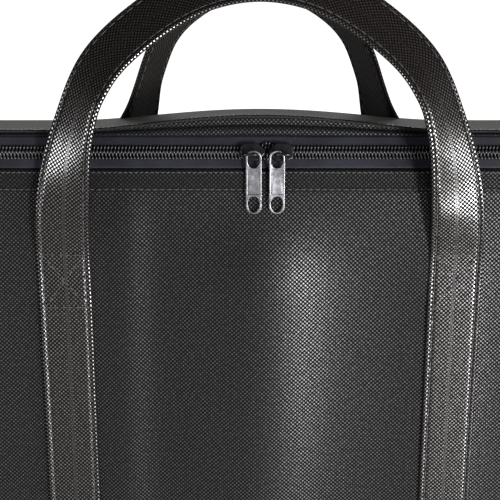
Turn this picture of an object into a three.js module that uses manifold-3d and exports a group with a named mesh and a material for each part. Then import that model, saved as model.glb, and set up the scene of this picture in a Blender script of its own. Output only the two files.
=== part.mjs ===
// A soft-sided portfolio case for flat artwork, standing upright on its base.
// Millimetres, +Z up, front towards -Y.
import * as THREE from "three";
import { mergeVertices } from "three/addons/utils/BufferGeometryUtils.js";
import Module from "manifold-3d";

const wasm = await Module();
wasm.setup();

// Driving dimensions.
const DEPTH = 50;
const FRONT_HALF_WIDTH = 324.5;
const FRONT_TOP = 508;
const FRONT_RADIUS = 20;
const SIDE_REACH = 15.5; // how far the gusset's crest stands outside the front panel's edge
const BACK_INSET = 6.2; // how far the back panel's edge lies inside the crest
const HINGE_Z = 10; // the seam line on which the front cover folds down
const BULGE_HEIGHT = 7.5; // the gusset's rise between the handle legs
const BULGE_HALF_WIDTH = 80;
const CREST_Y = -15.4;
const GAP = 0.3; // between touching pieces

const FABRIC = 1.2;
const BOARD = 2;
const LINING = 0.6;
const GUSSET = 1.6;
const BINDING = 1.3;
const BASE_RADIUS = 6;
const BOTTOM_BOARD_HALF_DEPTH = 19;

const ZIP_LEAN = THREE.MathUtils.degToRad(64); // the zip strip's slope from level
const ZIP_CENTRE = 7.4; // from the front panel's edge to the middle of the coil
const COIL_WIDTH = 6.2;
const COIL_HEIGHT = 1.6;
const COIL_SPLIT = 2.2;
const TAPE = 0.6;
const TAPE_SPLIT = 2.2; // between the two tapes, under the coil
const FRONT_TAPE_START = 0.8;
const BACK_TAPE_END = 15;
const ZIP_END_HEIGHT = 12;
const ZIP_FOOT_Z = HINGE_Z + ZIP_END_HEIGHT + 3;

const STRAP_WIDTH = 25;
const STRAP_THICKNESS = 1.6;
const HANDLE_THICKNESS = 2.2;
const STITCH_TOP = 468; // where the handle leaves the panel
const STITCH_GAP = 1.8; // below the handle's foot, which is cut square to its lean
const FRONT_STRAP_X = 90;
const BACK_STRAP_X = 70;
const ARCH_TILT = THREE.MathUtils.degToRad(46); // turn of the strap's face on the arch

const SLIDERS_X = 3;
const SLIDER_LENGTH = 11;
const SLIDER_WIDTH = 8.2;
const SLIDER_SPACING = 12.6; // centre to centre, heads together
const BRIDGE_RISE = 3.8;
const BRIDGE_BAR = 1.2;
const PULLS_X = 2.4;
const PULL_SPACING = 10.4;
const PULL_WIDTH = 7;
const PULL_LENGTH = 29.8;
const PULL_THICKNESS = 1.1;
const PULL_BACK_Y = -26.9;
const PULL_TOP = 9.4; // above the front panel's edge

const FRONT_Y = -DEPTH / 2;
const BACK_Y = DEPTH / 2;
const CREST_HALF_WIDTH = FRONT_HALF_WIDTH + SIDE_REACH;
const CREST_TOP = FRONT_TOP + SIDE_REACH;
const CREST_RADIUS = FRONT_RADIUS + SIDE_REACH;
const BACK_HALF_WIDTH = CREST_HALF_WIDTH - BACK_INSET;
const BACK_TOP = CREST_TOP - BACK_INSET;

function cloth(color, roughness = 0.75) {
  return new THREE.MeshStandardMaterial({ color, roughness, metalness: 0 });
}

const panelCloth = () => cloth(0x141416);
const webbing = () => cloth(0x1c1713, 0.65);
const liningCloth = () => cloth(0x25262a, 0.8);
const cardboard = () => cloth(0x6b5b49, 0.9);
const zipTape = () => cloth(0x2c3338, 0.7);
const coilNylon = () => cloth(0x101012, 0.4);
const blackEnamel = () => new THREE.MeshStandardMaterial({ color: 0x0b0b0c, roughness: 0.35, metalness: 0.4 });
const gunmetal = () => new THREE.MeshStandardMaterial({ color: 0x6f7176, roughness: 0.38, metalness: 0.9 });

// A route through given stations, each a point and the direction in which the section's own x runs.
class Route extends THREE.Curve {
  constructor(stations) {
    super();
    this.stations = stations;
  }

  getPoint(t, target = new THREE.Vector3()) {
    const place = t * (this.stations.length - 1);
    const before = Math.min(Math.floor(place), this.stations.length - 2);
    return target.lerpVectors(this.stations[before].at, this.stations[before + 1].at, place - before);
  }

  getUtoTmapping(u) {
    return u;
  }

  computeFrenetFrames(segments) {
    const tangents = [];
    const normals = [];
    const binormals = [];
    for (let i = 0; i <= segments; i++) {
      const tangent = this.getTangent(i / segments);
      const across = this.stations[i].out;
      tangents.push(tangent);
      normals.push(across);
      binormals.push(new THREE.Vector3().crossVectors(tangent, across).normalize());
    }
    return { tangents, normals, binormals };
  }
}

function sweep(section, stations) {
  return new THREE.ExtrudeGeometry(new THREE.Shape(section), {
    extrudePath: new Route(stations),
    steps: stations.length - 1,
    curveSegments: 1,
  });
}

// Manifold-3d does the joining and cutting.
function toSolid(geometry) {
  const bare = geometry.clone();
  bare.deleteAttribute("normal");
  bare.deleteAttribute("uv");
  const merged = mergeVertices(bare, 1e-3);
  const mesh = new wasm.Mesh({
    numProp: 3,
    vertProperties: new Float32Array(merged.attributes.position.array),
    triVerts: new Uint32Array(merged.index.array),
  });
  return new wasm.Manifold(mesh);
}

function toGeometry(solid) {
  const mesh = solid.getMesh();
  const geometry = new THREE.BufferGeometry();
  geometry.setAttribute("position", new THREE.BufferAttribute(new Float32Array(mesh.vertProperties), 3));
  geometry.setIndex(new THREE.BufferAttribute(new Uint32Array(mesh.triVerts), 1));
  geometry.computeVertexNormals();
  return geometry;
}

function piece(name, geometry, material) {
  const mesh = new THREE.Mesh(geometry, material);
  mesh.name = name;
  return mesh;
}

function roundedPanel(halfWidth, bottom, top, topRadius, bottomRadius) {
  const shape = new THREE.Shape();
  shape.moveTo(-halfWidth + bottomRadius, bottom);
  shape.lineTo(halfWidth - bottomRadius, bottom);
  shape.absarc(halfWidth - bottomRadius, bottom + bottomRadius, bottomRadius, -Math.PI / 2, 0);
  shape.lineTo(halfWidth, top - topRadius);
  shape.absarc(halfWidth - topRadius, top - topRadius, topRadius, 0, Math.PI / 2);
  shape.lineTo(-halfWidth + topRadius, top);
  shape.absarc(-halfWidth + topRadius, top - topRadius, topRadius, Math.PI / 2, Math.PI);
  shape.lineTo(-halfWidth, bottom + bottomRadius);
  shape.absarc(-halfWidth + bottomRadius, bottom + bottomRadius, bottomRadius, Math.PI, 1.5 * Math.PI);
  return shape;
}

// An upright sheet from its front face at frontY to its back face.
function sheet(name, shape, frontY, thickness, material) {
  const geometry = new THREE.ExtrudeGeometry(shape, {
    depth: thickness,
    bevelEnabled: false,
    curveSegments: 6,
  });
  const mesh = piece(name, geometry, material);
  mesh.rotation.x = Math.PI / 2;
  mesh.position.y = frontY + thickness;
  return mesh;
}

function box(name, size, centre, material) {
  const mesh = piece(name, new THREE.BoxGeometry(...size), material);
  mesh.position.set(...centre);
  return mesh;
}

function bulge(x) {
  const share = Math.min(Math.abs(x) / BULGE_HALF_WIDTH, 1);
  return BULGE_HEIGHT * (0.5 + 0.5 * Math.cos(Math.PI * share));
}

const CORNER_STEPS = 6;
const BULGE_STEPS = 16;

function station(x, z, angle) {
  return { at: new THREE.Vector3(x, 0, z), out: new THREE.Vector3(Math.cos(angle), 0, Math.sin(angle)) };
}

// Stations round a corner of the outline, centred sideways of the middle by side * (halfWidth - radius).
function corner(side, halfWidth, top, radius, from, to) {
  const list = [];
  const steps = Math.max(1, Math.round((CORNER_STEPS * Math.abs(to - from)) / 90));
  for (let i = 0; i <= steps; i++) {
    const angle = THREE.MathUtils.degToRad(from + ((to - from) * i) / steps);
    const x = side * (halfWidth - radius) + radius * Math.cos(angle);
    list.push(station(x, top - radius + radius * Math.sin(angle), angle));
  }
  return list;
}

function topRun(top, raised) {
  const list = [];
  for (let i = 0; i <= BULGE_STEPS; i++) {
    const x = BULGE_HALF_WIDTH * ((2 * i) / BULGE_STEPS - 1);
    list.push(station(x, top + (raised ? bulge(x) : 0), Math.PI / 2));
  }
  return list;
}

function wholeOutline(halfWidth, top, radius, foot, raised) {
  return [
    station(-halfWidth, foot, Math.PI),
    ...corner(-1, halfWidth, top, radius, 180, 90),
    ...(raised ? topRun(top, true) : []),
    ...corner(1, halfWidth, top, radius, 90, 0),
    station(halfWidth, foot, 0),
  ];
}

// A point of a section on the zip's slope: along it from the front panel's edge, and out from its surface.
function onSlope(along, out) {
  const outward = along * Math.sin(ZIP_LEAN) + out * Math.cos(ZIP_LEAN);
  const forward = -FRONT_Y - along * Math.cos(ZIP_LEAN) + out * Math.sin(ZIP_LEAN);
  return new THREE.Vector2(outward, forward);
}

function slopeBand(start, end, low, high) {
  return [onSlope(start, low), onSlope(end, low), onSlope(end, high), onSlope(start, high)];
}

function frontOutline(foot) {
  return wholeOutline(FRONT_HALF_WIDTH, FRONT_TOP, FRONT_RADIUS, foot, false);
}

function tape(name, start, end) {
  return piece(name, sweep(slopeBand(start, end, -TAPE, 0), frontOutline(ZIP_FOOT_Z)), zipTape());
}

// Half of the coil. The two halves stand apart, so that a slider's neck runs between them.
function coilHalf(name, side) {
  const inner = ZIP_CENTRE + (side * COIL_SPLIT) / 2;
  const outer = ZIP_CENTRE + (side * COIL_WIDTH) / 2;
  const band = slopeBand(Math.min(inner, outer), Math.max(inner, outer), GAP, GAP + COIL_HEIGHT);
  return piece(name, sweep(band, frontOutline(ZIP_FOOT_Z)), coilNylon());
}

// Gusset: sides and top run back from the crest, drawing in a little towards the back panel.
function gussetSection() {
  const backEnd = BACK_Y - FABRIC - GAP;
  return [
    new THREE.Vector2(0, -CREST_Y),
    new THREE.Vector2(-GUSSET, -CREST_Y),
    new THREE.Vector2(-GUSSET - BACK_INSET, -backEnd),
    new THREE.Vector2(-BACK_INSET, -backEnd),
  ];
}

const SEAM_ANGLE = 45;
const SEAM_GAP_ANGLE = 0.6;

function gussetSide(name, side) {
  const seam = side < 0 ? SEAM_ANGLE + 90 + SEAM_GAP_ANGLE : SEAM_ANGLE - SEAM_GAP_ANGLE;
  const foot = station(side * CREST_HALF_WIDTH, BASE_RADIUS + GUSSET, side < 0 ? Math.PI : 0);
  const turn = corner(
    side,
    CREST_HALF_WIDTH,
    CREST_TOP,
    CREST_RADIUS,
    side < 0 ? 180 : seam,
    side < 0 ? seam : 0,
  );
  const stations = side < 0 ? [foot, ...turn] : [...turn, foot];
  return piece(name, sweep(gussetSection(), stations), panelCloth());
}

// The upright lip of the top gusset, from behind the zip tape up to the bulging crest.
function gussetLip() {
  const low = BACK_TAPE_END - 3;
  const edge = SIDE_REACH + 1.4;
  const shape = new THREE.Shape();
  shape.moveTo(-FRONT_HALF_WIDTH + FRONT_RADIUS, low);
  shape.lineTo(FRONT_HALF_WIDTH - FRONT_RADIUS, low);
  shape.lineTo(FRONT_HALF_WIDTH - FRONT_RADIUS, edge);
  for (let i = BULGE_STEPS; i >= 0; i--) {
    const x = BULGE_HALF_WIDTH * ((2 * i) / BULGE_STEPS - 1);
    shape.lineTo(x, edge + bulge(x) / Math.sin(ZIP_LEAN));
  }
  shape.lineTo(-FRONT_HALF_WIDTH + FRONT_RADIUS, edge);
  shape.closePath();
  const lip = new THREE.ExtrudeGeometry(shape, { depth: FABRIC, bevelEnabled: false });
  lip.translate(0, 0, -TAPE - GAP - FABRIC);
  lip.rotateX(ZIP_LEAN);
  lip.translate(0, FRONT_Y, FRONT_TOP);
  return lip;
}

function gussetTop() {
  const left = SEAM_ANGLE + 90 - SEAM_GAP_ANGLE;
  const right = SEAM_ANGLE + SEAM_GAP_ANGLE;
  const stations = [
    ...corner(-1, CREST_HALF_WIDTH, CREST_TOP, CREST_RADIUS, left, 90),
    ...topRun(CREST_TOP, true),
    ...corner(1, CREST_HALF_WIDTH, CREST_TOP, CREST_RADIUS, 90, right),
  ];
  const solid = toSolid(sweep(gussetSection(), stations)).add(toSolid(gussetLip()));
  return piece("gusset_top", toGeometry(solid), panelCloth());
}

// A bound edge in front of the crest, above the zip tape.
function crestBinding() {
  const start = BACK_TAPE_END + 2 * GAP;
  const section = slopeBand(start, start + BINDING, -TAPE, BINDING - TAPE);
  section.forEach((corner) => (corner.x -= SIDE_REACH));
  const outline = wholeOutline(CREST_HALF_WIDTH, CREST_TOP, CREST_RADIUS, ZIP_FOOT_Z, true);
  return piece("crest_binding", sweep(section, outline), panelCloth());
}

// The base: a shallow channel whose lips meet the two panels on the seam lines.
function bottomPanel() {
  const seam = HINGE_Z - GAP;
  const halfLength = CREST_HALF_WIDTH - 0.5;
  const inside = BASE_RADIUS - FABRIC;
  const shape = new THREE.Shape();
  shape.moveTo(FRONT_Y, seam);
  shape.lineTo(FRONT_Y, BASE_RADIUS);
  shape.absarc(FRONT_Y + BASE_RADIUS, BASE_RADIUS, BASE_RADIUS, Math.PI, 1.5 * Math.PI);
  shape.lineTo(BACK_Y - BASE_RADIUS, 0);
  shape.absarc(BACK_Y - BASE_RADIUS, BASE_RADIUS, BASE_RADIUS, 1.5 * Math.PI, 2 * Math.PI);
  shape.lineTo(BACK_Y, seam);
  shape.lineTo(BACK_Y - FABRIC, seam);
  shape.lineTo(BACK_Y - FABRIC, BASE_RADIUS);
  shape.absarc(BACK_Y - BASE_RADIUS, BASE_RADIUS, inside, 0, -Math.PI / 2, true);
  shape.lineTo(FRONT_Y + BASE_RADIUS, FABRIC);
  shape.absarc(FRONT_Y + BASE_RADIUS, BASE_RADIUS, inside, -Math.PI / 2, -Math.PI, true);
  shape.lineTo(FRONT_Y + FABRIC, seam);
  shape.closePath();
  const geometry = new THREE.ExtrudeGeometry(shape, {
    depth: 2 * halfLength,
    bevelEnabled: false,
    curveSegments: 5,
  });
  const mesh = piece("bottom_panel", geometry, panelCloth());
  mesh.rotation.set(Math.PI / 2, 0, Math.PI / 2, "ZYX");
  mesh.position.x = -halfLength;
  return mesh;
}

function bottomBoard() {
  const size = [2 * (FRONT_HALF_WIDTH - 8), 2 * BOTTOM_BOARD_HALF_DEPTH, BOARD];
  return box("bottom_board", size, [0, 0, FABRIC + GAP + BOARD / 2], cardboard());
}

// A tab of cloth over each lower end of the zip, sewn to the back half.
function zipEnd(name, side) {
  const low = GAP + COIL_HEIGHT + GAP;
  const section = slopeBand(1.5, BACK_TAPE_END + 0.6, low, low + FABRIC);
  const foot = station(side * FRONT_HALF_WIDTH, HINGE_Z + GAP, side < 0 ? Math.PI : 0);
  const head = station(side * FRONT_HALF_WIDTH, HINGE_Z + ZIP_END_HEIGHT, side < 0 ? Math.PI : 0);
  return piece(name, sweep(section, side < 0 ? [foot, head] : [head, foot]), panelCloth());
}

// Webbing sewn down a panel, from the stitched box under the handle to the base seam.
function sewnStrap(name, x, frontY) {
  const bottom = HINGE_Z + 1;
  const top = STITCH_TOP - STITCH_GAP;
  const size = [STRAP_WIDTH, STRAP_THICKNESS, top - bottom];
  return box(name, size, [x, frontY + STRAP_THICKNESS / 2, (top + bottom) / 2], webbing());
}

const HANDLE_STEPS = 36;

// A handle: one leg's points from the stitched box to the middle of the arch, mirrored for the other leg.
function handle(name, leg, facing) {
  const points = leg.map((p) => new THREE.Vector3(...p));
  const mirrored = leg.slice(0, -1).reverse().map(([x, y, z]) => new THREE.Vector3(-x, y, z));
  const line = new THREE.CatmullRomCurve3([...points, ...mirrored], false, "centripetal");
  const stations = [];
  for (let i = 0; i <= HANDLE_STEPS; i++) {
    const at = line.getPointAt(i / HANDLE_STEPS);
    const along = line.getTangentAt(i / HANDLE_STEPS);
    const flat = new THREE.Vector3(-along.z, 0, along.x).normalize();
    const share = Math.min(Math.min(i, HANDLE_STEPS - i) / (0.36 * HANDLE_STEPS), 1);
    const tilt = ARCH_TILT * share * share * (3 - 2 * share);
    const out = flat.multiplyScalar(Math.cos(tilt)).add(new THREE.Vector3(0, -facing * Math.sin(tilt), 0));
    stations.push({ at, out });
  }
  const half = [STRAP_WIDTH / 2, HANDLE_THICKNESS / 2];
  const section = [
    new THREE.Vector2(-half[0], -half[1]),
    new THREE.Vector2(half[0], -half[1]),
    new THREE.Vector2(half[0], half[1]),
    new THREE.Vector2(-half[0], half[1]),
  ];
  return piece(name, sweep(section, stations), webbing());
}

const FRONT_HANDLE_LEG = [
  [-90.3, -26.6, STITCH_TOP],
  [-89.8, -29.6, 481],
  [-89, -31.8, 492],
  [-86.8, -33, 510],
  [-83, -31.6, 528],
  [-76.8, -28, 545.5],
  [-66.3, -21.5, 560.5],
  [-46, -15, 576.5],
  [-24, -12.6, 587.5],
  [0, -12, 591.5],
];

const BACK_HANDLE_LEG = [
  [-70, 26.6, STITCH_TOP],
  [-68.5, 29, 482],
  [-63.5, 31, 502],
  [-57.2, 30, 521],
  [-52.8, 28, 536.5],
  [-45.2, 24, 556],
  [-34, 21.5, 569],
  [-18, 20, 578.5],
  [0, 20, 581.5],
];

// Sliders: a top plate and a bottom plate joined by a neck, side flanges, and a bridge for the pull.
const NECK = { length: 1.8, width: 1.5 };
const PLATE = 1.2;
const PLATE_BASE = GAP + COIL_HEIGHT + GAP;
const BRIDGE = { start: -4.6, end: 2.7, width: 1.3, low: -2.1 }; // low: down the slope from the coil
const FOOT_LENGTH = 1.3;

function sliderX(side) {
  return SLIDERS_X + (side * SLIDER_SPACING) / 2;
}

function block(length, width, low, high, x = 0, y = 0) {
  const geometry = new THREE.BoxGeometry(length, width, high - low);
  geometry.translate(x, y, (low + high) / 2);
  return toSolid(geometry);
}

function sliderPlate(low, high, width) {
  const half = width / 2;
  const end = SLIDER_LENGTH / 2;
  const shape = new THREE.Shape();
  shape.moveTo(-end, -half + 1.6);
  shape.quadraticCurveTo(-end, -half + 0.6, -end + 1.6, -half + 0.5);
  shape.lineTo(end - 3.4, -half);
  shape.quadraticCurveTo(end - 0.6, -half, end, -half + 2.4);
  shape.quadraticCurveTo(end - 1, 0, end, half - 2.4);
  shape.quadraticCurveTo(end - 0.6, half, end - 3.4, half);
  shape.lineTo(-end + 1.6, half - 0.5);
  shape.quadraticCurveTo(-end, half - 0.6, -end, half - 1.6);
  shape.closePath();
  const geometry = new THREE.ExtrudeGeometry(shape, {
    depth: high - low,
    bevelEnabled: false,
    curveSegments: 4,
  });
  geometry.translate(0, 0, low);
  return toSolid(geometry);
}

function slider(name, side) {
  const plateTop = PLATE_BASE + PLATE;
  const bridgeLow = plateTop + BRIDGE_RISE;
  const bridgeHigh = bridgeLow + BRIDGE_BAR;
  const flangeY = SLIDER_WIDTH / 2 - 0.4;
  const bridgeY = -side * BRIDGE.low; // both bridges sit low, though the right slider is turned half round
  const neckAt = SLIDER_LENGTH / 2 - 2.4;
  const bottomHigh = -TAPE - GAP;
  let body = sliderPlate(PLATE_BASE, plateTop, SLIDER_WIDTH);
  body = body.add(sliderPlate(bottomHigh - PLATE, bottomHigh, SLIDER_WIDTH - 0.6));
  body = body.add(block(NECK.length, NECK.width, bottomHigh - 0.2, PLATE_BASE + 0.2, neckAt));
  for (const edge of [-1, 1]) {
    body = body.add(block(SLIDER_LENGTH - 5, 0.7, GAP, PLATE_BASE + 0.2, -0.6, edge * flangeY));
  }
  for (const foot of [BRIDGE.start + FOOT_LENGTH / 2, BRIDGE.end - FOOT_LENGTH / 2]) {
    body = body.add(block(FOOT_LENGTH, BRIDGE.width, plateTop - 0.2, bridgeHigh, foot, bridgeY));
  }
  const bridgeMiddle = (BRIDGE.start + BRIDGE.end) / 2;
  body = body.add(
    block(BRIDGE.end - BRIDGE.start, BRIDGE.width, bridgeLow, bridgeHigh, bridgeMiddle, bridgeY),
  );
  const mesh = piece(name, toGeometry(body), blackEnamel());
  mesh.position.set(sliderX(side), ZIP_CENTRE, 0);
  if (side > 0) mesh.rotation.z = Math.PI;
  return mesh;
}

// A pull: a flat tongue, an eye at the top round the bridge, a recess, and a hole near its foot.
const EYE = { width: 5.4, top: -0.8, bottom: -8 };
const FOOT_HOLE = { radius: 2.8, centre: -26 };
const RECESS = { width: 4.8, top: -9, bottom: -21.8, depth: 0.25 };

function pullGeometry() {
  const half = PULL_WIDTH / 2;
  const shape = new THREE.Shape();
  shape.moveTo(-half, -2.6);
  shape.lineTo(-half, -PULL_LENGTH + half);
  shape.absarc(0, -PULL_LENGTH + half, half, Math.PI, 2 * Math.PI);
  shape.lineTo(half, -2.6);
  shape.quadraticCurveTo(half, 0, half - 2.6, 0);
  shape.lineTo(-half + 2.6, 0);
  shape.quadraticCurveTo(-half, 0, -half, -2.6);
  const eye = new THREE.Path();
  const eyeHalf = EYE.width / 2;
  eye.moveTo(-eyeHalf, EYE.top - 1);
  eye.quadraticCurveTo(-eyeHalf, EYE.top, -eyeHalf + 1, EYE.top);
  eye.lineTo(eyeHalf - 1, EYE.top);
  eye.quadraticCurveTo(eyeHalf, EYE.top, eyeHalf, EYE.top - 1);
  eye.lineTo(eyeHalf, EYE.bottom + 3);
  eye.quadraticCurveTo(eyeHalf, EYE.bottom, 0, EYE.bottom);
  eye.quadraticCurveTo(-eyeHalf, EYE.bottom, -eyeHalf, EYE.bottom + 3);
  eye.closePath();
  const hole = new THREE.Path();
  hole.absarc(0, FOOT_HOLE.centre, FOOT_HOLE.radius, 0, 2 * Math.PI);
  shape.holes.push(eye, hole);
  const tongue = new THREE.ExtrudeGeometry(shape, {
    depth: PULL_THICKNESS,
    bevelEnabled: false,
    curveSegments: 8,
  });
  const recess = new THREE.BoxGeometry(RECESS.width, RECESS.top - RECESS.bottom, 2 * RECESS.depth);
  recess.translate(0, (RECESS.top + RECESS.bottom) / 2, PULL_THICKNESS);
  return toGeometry(toSolid(tongue).subtract(toSolid(recess)));
}

function pull(name, side) {
  const mesh = piece(name, pullGeometry(), gunmetal());
  mesh.rotation.x = Math.PI / 2;
  mesh.position.set(PULLS_X + (side * PULL_SPACING) / 2, PULL_BACK_Y, FRONT_TOP + PULL_TOP);
  return mesh;
}

function frontCover() {
  const group = new THREE.Group();
  const bottom = HINGE_Z + GAP;
  const boardY = FRONT_Y + FABRIC + GAP;
  const liningY = boardY + BOARD + GAP;
  const zipStart = FRONT_TAPE_START;
  const split = ZIP_CENTRE - TAPE_SPLIT / 2;
  group.add(
    sheet(
      "front_panel",
      roundedPanel(FRONT_HALF_WIDTH, bottom, FRONT_TOP, FRONT_RADIUS, 6),
      FRONT_Y,
      FABRIC,
      panelCloth(),
    ),
    sheet(
      "front_board",
      roundedPanel(FRONT_HALF_WIDTH - 7, bottom + 5, FRONT_TOP - 7, 14, 6),
      boardY,
      BOARD,
      cardboard(),
    ),
    sheet(
      "front_lining",
      roundedPanel(FRONT_HALF_WIDTH - 3, bottom + 2, FRONT_TOP - 3, 17, 6),
      liningY,
      LINING,
      liningCloth(),
    ),
    tape("front_zip_tape", zipStart, split),
    coilHalf("front_zip_coil", -1),
    sewnStrap("front_strap_left", -FRONT_STRAP_X, FRONT_Y - GAP - STRAP_THICKNESS),
    sewnStrap("front_strap_right", FRONT_STRAP_X, FRONT_Y - GAP - STRAP_THICKNESS),
  );
  return group;
}

function backHalf() {
  const group = new THREE.Group();
  const bottom = HINGE_Z + GAP;
  const panelY = BACK_Y - FABRIC;
  const boardY = panelY - GAP - BOARD;
  const liningY = boardY - GAP - LINING;
  const inner = BACK_HALF_WIDTH - GUSSET - 2 * GAP;
  const innerTop = BACK_TOP - GUSSET - 2 * GAP;
  const split = ZIP_CENTRE + TAPE_SPLIT / 2;
  const radius = CREST_RADIUS - BACK_INSET;
  group.add(
    sheet(
      "back_panel",
      roundedPanel(BACK_HALF_WIDTH, bottom, BACK_TOP, radius, 6),
      panelY,
      FABRIC,
      panelCloth(),
    ),
    sheet(
      "back_board",
      roundedPanel(inner - 6, bottom + 5, innerTop - 6, radius - 8, 6),
      boardY,
      BOARD,
      cardboard(),
    ),
    sheet(
      "back_lining",
      roundedPanel(inner - 4, bottom + 2, innerTop - 4, radius - 6, 6),
      liningY,
      LINING,
      liningCloth(),
    ),
    gussetSide("gusset_left", -1),
    gussetSide("gusset_right", 1),
    gussetTop(),
    crestBinding(),
    bottomPanel(),
    bottomBoard(),
    tape("back_zip_tape", split, BACK_TAPE_END),
    coilHalf("back_zip_coil", 1),
    zipEnd("zip_end_left", -1),
    zipEnd("zip_end_right", 1),
    sewnStrap("back_strap_left", -BACK_STRAP_X, BACK_Y + GAP),
    sewnStrap("back_strap_right", BACK_STRAP_X, BACK_Y + GAP),
  );
  return group;
}

function zipSliders() {
  const group = new THREE.Group();
  group.position.set(0, FRONT_Y, FRONT_TOP);
  group.rotation.x = ZIP_LEAN;
  group.add(slider("left_slider", -1), slider("right_slider", 1));
  return group;
}

const portfolioCase = new THREE.Group();
portfolioCase.add(
  backHalf(),
  frontCover(),
  handle("front_handle", FRONT_HANDLE_LEG, -1),
  handle("back_handle", BACK_HANDLE_LEG, 1),
  zipSliders(),
  pull("left_pull", -1),
  pull("right_pull", 1),
);

export default portfolioCase;
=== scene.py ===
"""A soft zipped portfolio case: its cloth, webbing, zip and pulls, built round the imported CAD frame."""

import math

import bmesh
import bpy
import numpy as np
from mathutils import Matrix, Vector


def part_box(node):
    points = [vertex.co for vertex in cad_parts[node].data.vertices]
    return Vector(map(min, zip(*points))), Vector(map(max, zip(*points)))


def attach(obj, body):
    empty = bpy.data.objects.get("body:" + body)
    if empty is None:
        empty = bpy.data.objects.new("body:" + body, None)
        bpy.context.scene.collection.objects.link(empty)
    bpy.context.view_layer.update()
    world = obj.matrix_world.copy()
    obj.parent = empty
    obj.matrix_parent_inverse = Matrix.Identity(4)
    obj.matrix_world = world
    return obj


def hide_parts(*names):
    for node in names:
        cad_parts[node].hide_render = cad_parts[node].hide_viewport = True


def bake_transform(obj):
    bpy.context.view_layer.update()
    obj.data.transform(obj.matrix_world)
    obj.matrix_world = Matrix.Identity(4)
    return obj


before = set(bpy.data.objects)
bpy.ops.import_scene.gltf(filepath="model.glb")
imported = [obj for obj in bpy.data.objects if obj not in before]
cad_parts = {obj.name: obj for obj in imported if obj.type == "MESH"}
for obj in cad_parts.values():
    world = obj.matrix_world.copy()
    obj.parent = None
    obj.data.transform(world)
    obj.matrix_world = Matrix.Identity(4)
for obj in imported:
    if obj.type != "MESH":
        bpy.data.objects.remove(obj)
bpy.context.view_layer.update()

# Base cloth.
# The base is one piece of coated nylon, woven with a small raised dot. It wraps a stiff card and turns up
# a little way all round, where it is sewn to the two panels and the gusset.

MM = 0.001
DOT_CELL = 1.0
PRESSED_DULLING = 0.6
PRESSED_HEM_FOOT = 0.4975
PANEL_VALLEY = (0.0004, 0.0004, 0.0005, 1)
PANEL_DOT = (0.0034, 0.0034, 0.0037, 1)
THREAD_DARK, THREAD_LIGHT = (0.002, 0.002, 0.002, 1), (0.011, 0.011, 0.0115, 1)
BASE_RADIUS = 6
CLOTH = 0.9
BASE_TURN_UP = 9.7
END_WALL_INSET = 1.6
# Light grey-green painted on the gusset's top behind the crest: a painted sheen, where that top catches
# light at a grazing angle.
PAINTED_SHEEN_GREY = (0.042, 0.044, 0.037, 1)


def limits(node):
    """The lowest and highest corners of a CAD node, in millimetres."""
    low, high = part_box(node)
    return np.array(low) / MM, np.array(high) / MM


class Value:
    """A shader value. Arithmetic on it adds Math nodes, and node() adds any other."""

    def __init__(self, tree, socket):
        self.tree = tree
        self.socket = socket

    def node(self, kind, inputs, out=0, **settings):
        made = self.tree.nodes.new(kind)
        for name, setting in settings.items():
            setattr(made, name, setting)
        for key, value in inputs.items():
            if isinstance(value, Value):
                self.tree.links.new(value.socket, made.inputs[key])
            else:
                made.inputs[key].default_value = value
        return Value(self.tree, made.outputs[out])

    def math(self, operation, *others):
        return self.node("ShaderNodeMath", dict(enumerate((self, *others))), operation=operation)

    def __add__(self, other):
        return self.math("ADD", other)

    __radd__ = __add__

    def __sub__(self, other):
        return self.math("SUBTRACT", other)

    def __rsub__(self, other):
        return (self * -1) + other

    def __mul__(self, other):
        return self.math("MULTIPLY", other)

    __rmul__ = __mul__

    def between(self, low, high):
        """0 below low, 1 above high, and smooth in between."""
        inputs = {"Value": self, "From Min": low, "From Max": high}
        return self.node("ShaderNodeMapRange", inputs, interpolation_type="SMOOTHSTEP")

    def noise(self, scale, detail=2.0):
        return self.node("ShaderNodeTexNoise", {"Vector": self, "Scale": scale, "Detail": detail})

    def mix(self, first, second):
        """A colour from first to second as this value goes from 0 to 1."""
        return self.node("ShaderNodeMix", {0: self, 6: first, 7: second}, out=2, data_type="RGBA")

    def axis(self, index):
        return self.node("ShaderNodeSeparateXYZ", {0: self}, out=index)

    def bump(self, strength, distance):
        inputs = {"Height": self, "Strength": strength, "Distance": distance}
        return self.node("ShaderNodeBump", inputs)

    def into(self, shader, name):
        self.tree.links.new(self.socket, shader.inputs[name])


def blank_material(name, roughness=0.7, metallic=0.0, specular=0.5):
    """A new material, its shader, its cloth coordinates in millimetres and its Object coordinates."""
    material = bpy.data.materials.new(name)
    material.use_nodes = True
    tree = material.node_tree
    shader = tree.nodes["Principled BSDF"]
    shader.inputs["Roughness"].default_value = roughness
    shader.inputs["Metallic"].default_value = metallic
    shader.inputs["Specular IOR Level"].default_value = specular
    uv = tree.nodes.new("ShaderNodeUVMap")
    uv.uv_map = "cloth"
    coords = tree.nodes.new("ShaderNodeTexCoord")
    return material, shader, Value(tree, uv.outputs[0]), Value(tree, coords.outputs["Object"])


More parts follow.
